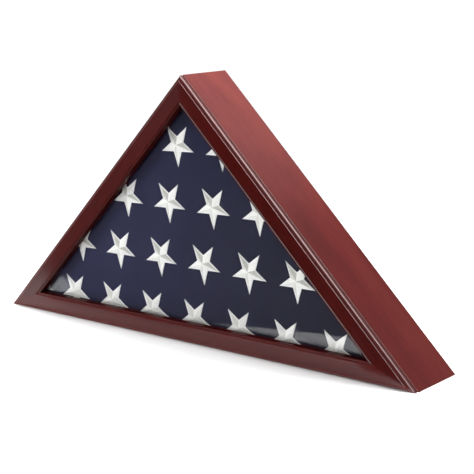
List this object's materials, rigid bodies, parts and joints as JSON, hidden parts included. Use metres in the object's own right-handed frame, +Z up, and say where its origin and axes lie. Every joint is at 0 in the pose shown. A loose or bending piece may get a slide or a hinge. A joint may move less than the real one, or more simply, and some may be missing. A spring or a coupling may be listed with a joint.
{
  "type": "folded flag display case",
  "caption": "Triangular mitred wooden display case with a moulded front frame, glass, a folded star-pattern flag and a drop-down back door.",
  "frame": {"origin": "middle of the underside of the base board, half way between the frame's face and the boards' back edges", "axes": "+Z up towards the apex, +X to the right seen from the front, the framed glass front faces -Y and the back door +Y"},
  "size_m": [0.64, 0.095, 0.32],
  "materials": {
    "board_wood": "stained mahogany colour, satin lacquer",
    "rail_wood": "stained mahogany colour, semi-gloss lacquer",
    "strip_wood": "stained, satin",
    "plain_wood": "bare sanded wood",
    "door_wood": "stained veneered board, matt",
    "glass": "clear float glass",
    "flag_cloth": "navy woven cloth",
    "star_thread": "off-white satin-stitch embroidery",
    "brass": "satin brass",
    "brass_screws": "satin brass, slotted",
    "pin_metal": "drawn brass",
    "magnet": "nickel plated",
    "steel": "zinc plated"
  },
  "bodies": {
    "case": {"base_board": "board_wood", "left_side_board": "board_wood", "right_side_board": "board_wood", "apex_spline": "plain_wood", "left_corner_spline": "plain_wood", "right_corner_spline": "plain_wood", "frame_rail_bottom": "rail_wood", "frame_rail_left": "rail_wood", "frame_rail_right": "rail_wood", "frame_v_nails": "steel", "glass_pane": "glass", "glazing_strip_bottom": "strip_wood", "glazing_strip_left": "strip_wood", "glazing_strip_right": "strip_wood", "glazing_brads": "steel", "folded_flag": "flag_cloth", "embroidered_stars": "star_thread", "apex_corner_block": "plain_wood", "catch_magnet": "magnet", "hinge_case_leaf_left": "brass", "hinge_case_leaf_right": "brass", "hinge_pin_left": "pin_metal", "hinge_pin_right": "pin_metal", "hinge_case_screws": "brass_screws"},
    "back_door": {"back_door_panel": "door_wood", "strike_disc": "steel", "strike_screw": "steel", "door_knob": "brass", "knob_screw": "steel", "hinge_door_leaf_left": "brass", "hinge_door_leaf_right": "brass", "hinge_door_screws": "brass_screws"}
  },
  "joints": [
    {"name": "back_door_hinge", "type": "hinge", "parent": "case", "child": "back_door", "pos_m": [0, 0.0443, 0.00925], "axis": [-1, 0, 0], "range_deg": [0, 90]}
  ]
}
